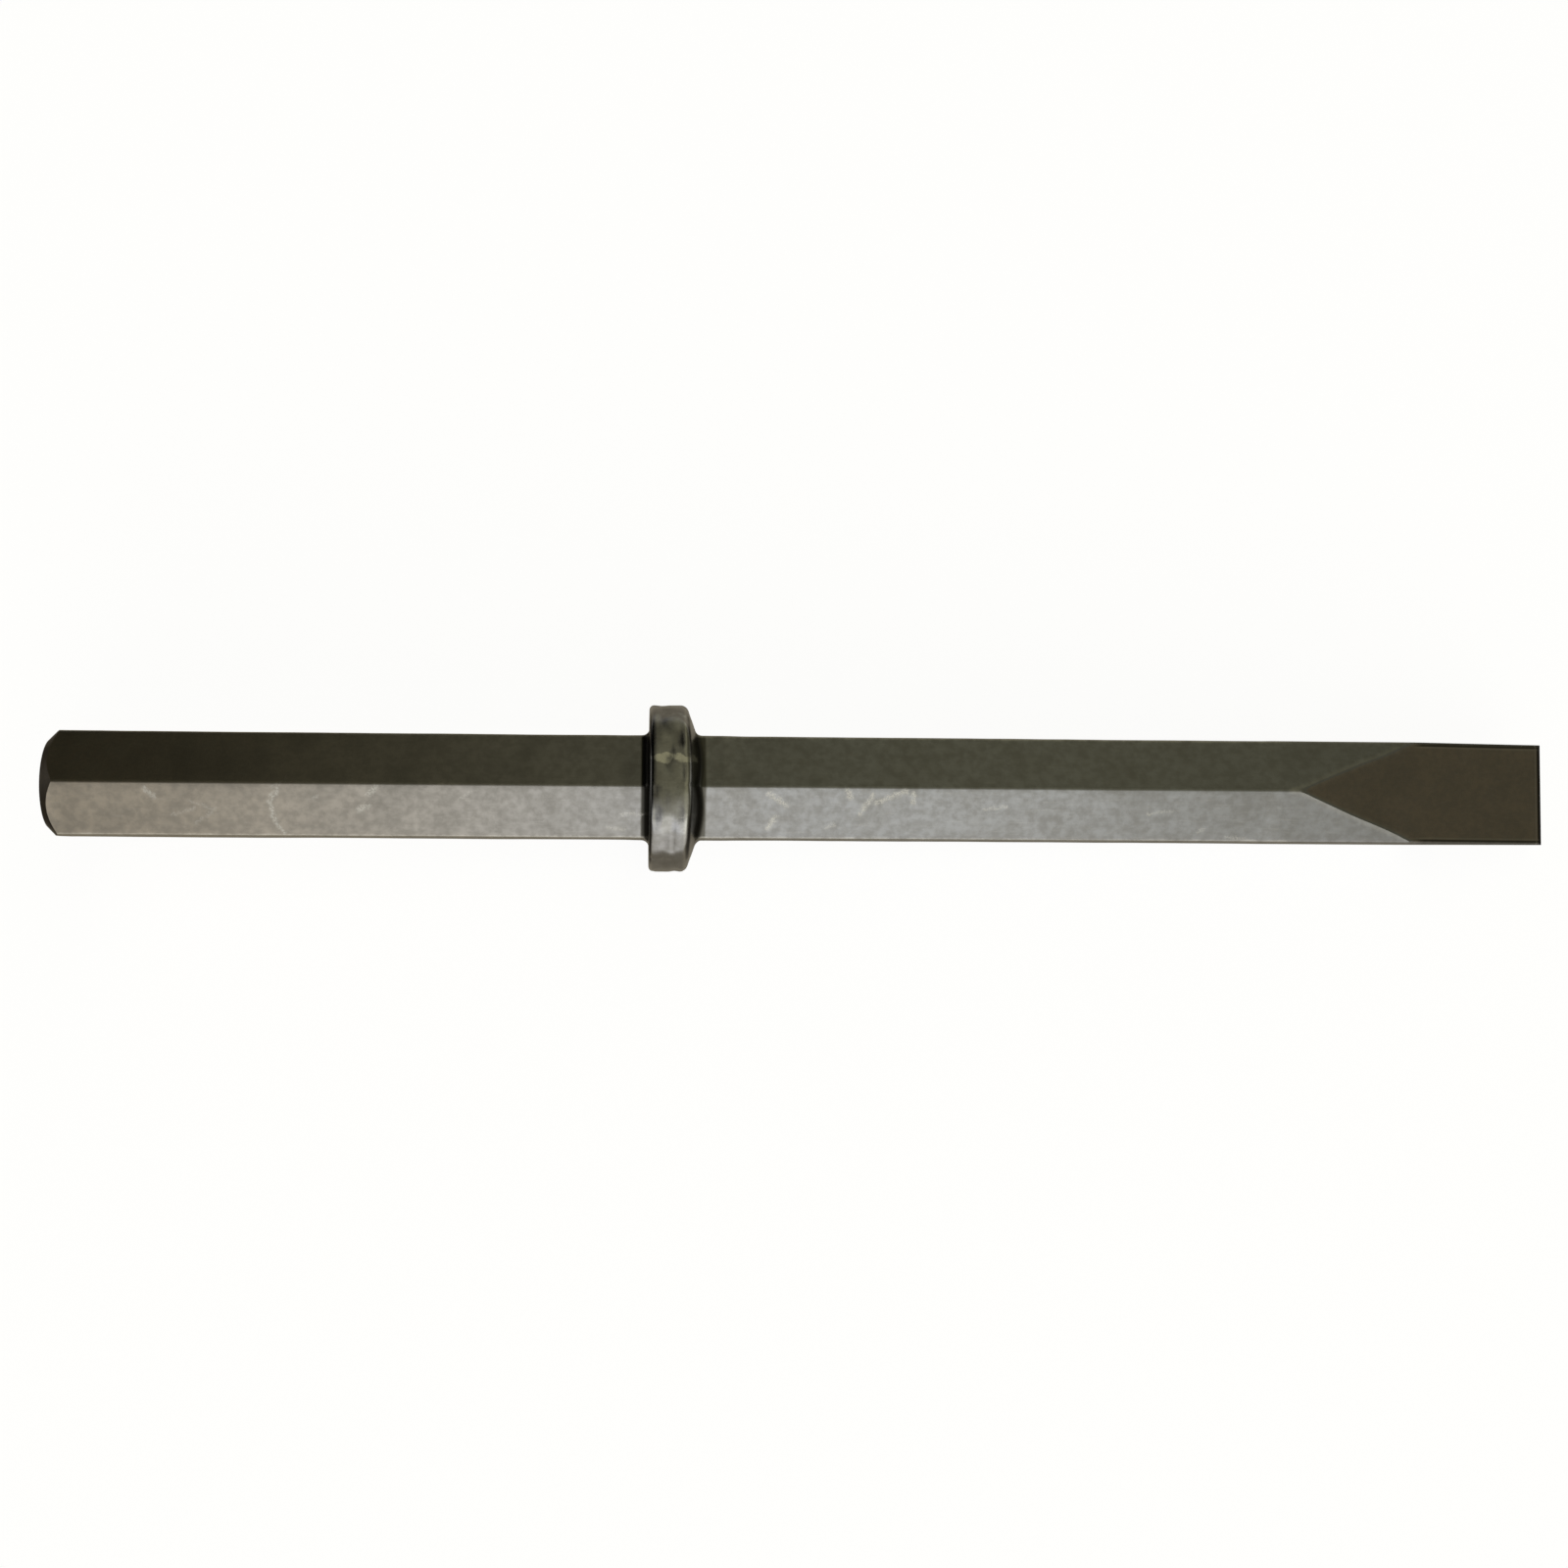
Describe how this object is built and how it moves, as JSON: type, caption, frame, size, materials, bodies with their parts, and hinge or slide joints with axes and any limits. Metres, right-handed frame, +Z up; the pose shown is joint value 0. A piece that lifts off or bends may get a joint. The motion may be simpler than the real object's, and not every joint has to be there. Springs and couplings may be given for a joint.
{
  "type": "collared hexagon-shank chisel",
  "caption": "Forged steel breaker chisel: hexagon shank with a chamfered struck face, a round collar that seats in the hammer, and a flat wedge blade for cutting stone, concrete and metal.",
  "frame": {"origin": "on the ground plane the tool lies on, under the middle of its length and width", "axes": "+X runs along the ground from the struck face to the cutting edge, +Z is up. The tool lies as it does by itself, on its collar's rim and one flat of the bar, so its own axis dips 2.76 degrees below +X, and it is rolled 23.88 degrees about that axis from a corner-up position."},
  "size_m": [0.4104, 0.0454, 0.0459],
  "materials": {
    "forged_steel": "hot-forged tool steel with a thin dark warm-grey oxide film, half gloss, mottled, scuffed and burnished along its corners"
  },
  "bodies": {
    "root": {"shank": "forged_steel", "collar": "forged_steel", "body": "forged_steel", "blade": "forged_steel"}
  },
  "joints": []
}
